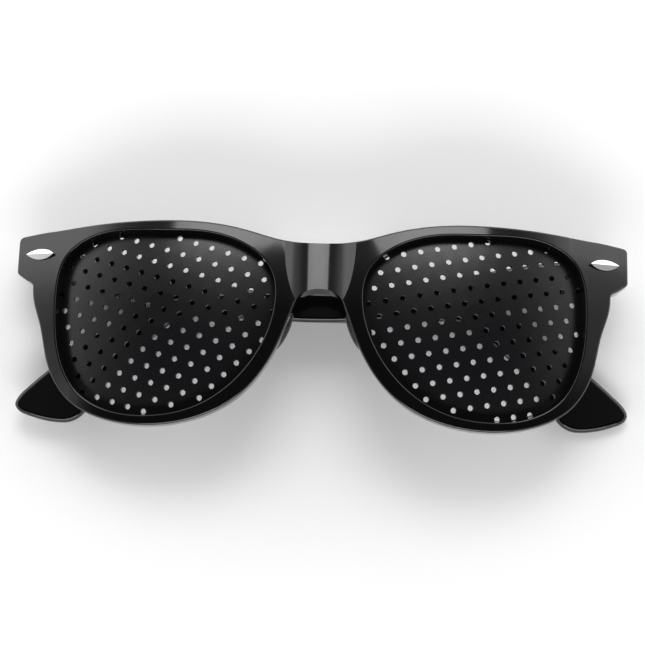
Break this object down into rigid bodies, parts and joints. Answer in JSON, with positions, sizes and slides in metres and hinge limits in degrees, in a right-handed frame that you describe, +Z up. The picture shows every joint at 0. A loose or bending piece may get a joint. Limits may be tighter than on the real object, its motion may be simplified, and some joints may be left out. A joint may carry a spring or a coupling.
{
  "type": "pinhole glasses",
  "caption": "Pinhole glasses with a glossy black plastic frame, perforated dark lenses and hinged temples, folded and lying on their back.",
  "frame": {"origin": "on the table, under the middle of the folded glasses", "axes": "+X from the wearer's right to their left, +Y from the rims' bottoms to the brow, +Z up, the way the front faces"},
  "size_m": [0.1459, 0.048, 0.0244],
  "materials": {
    "frame_plastic": "polished",
    "lens_sheet": "satin",
    "shield_metal": "polished",
    "hinge_metal": "satin"
  },
  "bodies": {
    "front": {"front_frame": "frame_plastic", "lens_left": "lens_sheet", "lens_right": "lens_sheet", "shield_left": "shield_metal", "shield_right": "shield_metal", "front_leaf_left": "hinge_metal", "front_leaf_right": "hinge_metal", "hinge_screw_left": "hinge_metal", "hinge_screw_right": "hinge_metal"},
    "left_temple": {"temple_left": "frame_plastic", "temple_leaf_left": "hinge_metal", "temple_rivets_left": "hinge_metal"},
    "right_temple": {"temple_right": "frame_plastic", "temple_leaf_right": "hinge_metal", "temple_rivets_right": "hinge_metal"}
  },
  "joints": [
    {"name": "left_hinge", "type": "hinge", "parent": "front", "child": "left_temple", "pos_m": [0.0661, 0.01408, 0.00885], "axis": [0, -1, 0], "range_deg": [0, 91.44]},
    {"name": "right_hinge", "type": "hinge", "parent": "front", "child": "right_temple", "pos_m": [-0.06746, 0.01408, 0.0055], "axis": [0, 1, 0], "range_deg": [0, 88.56]}
  ]
}
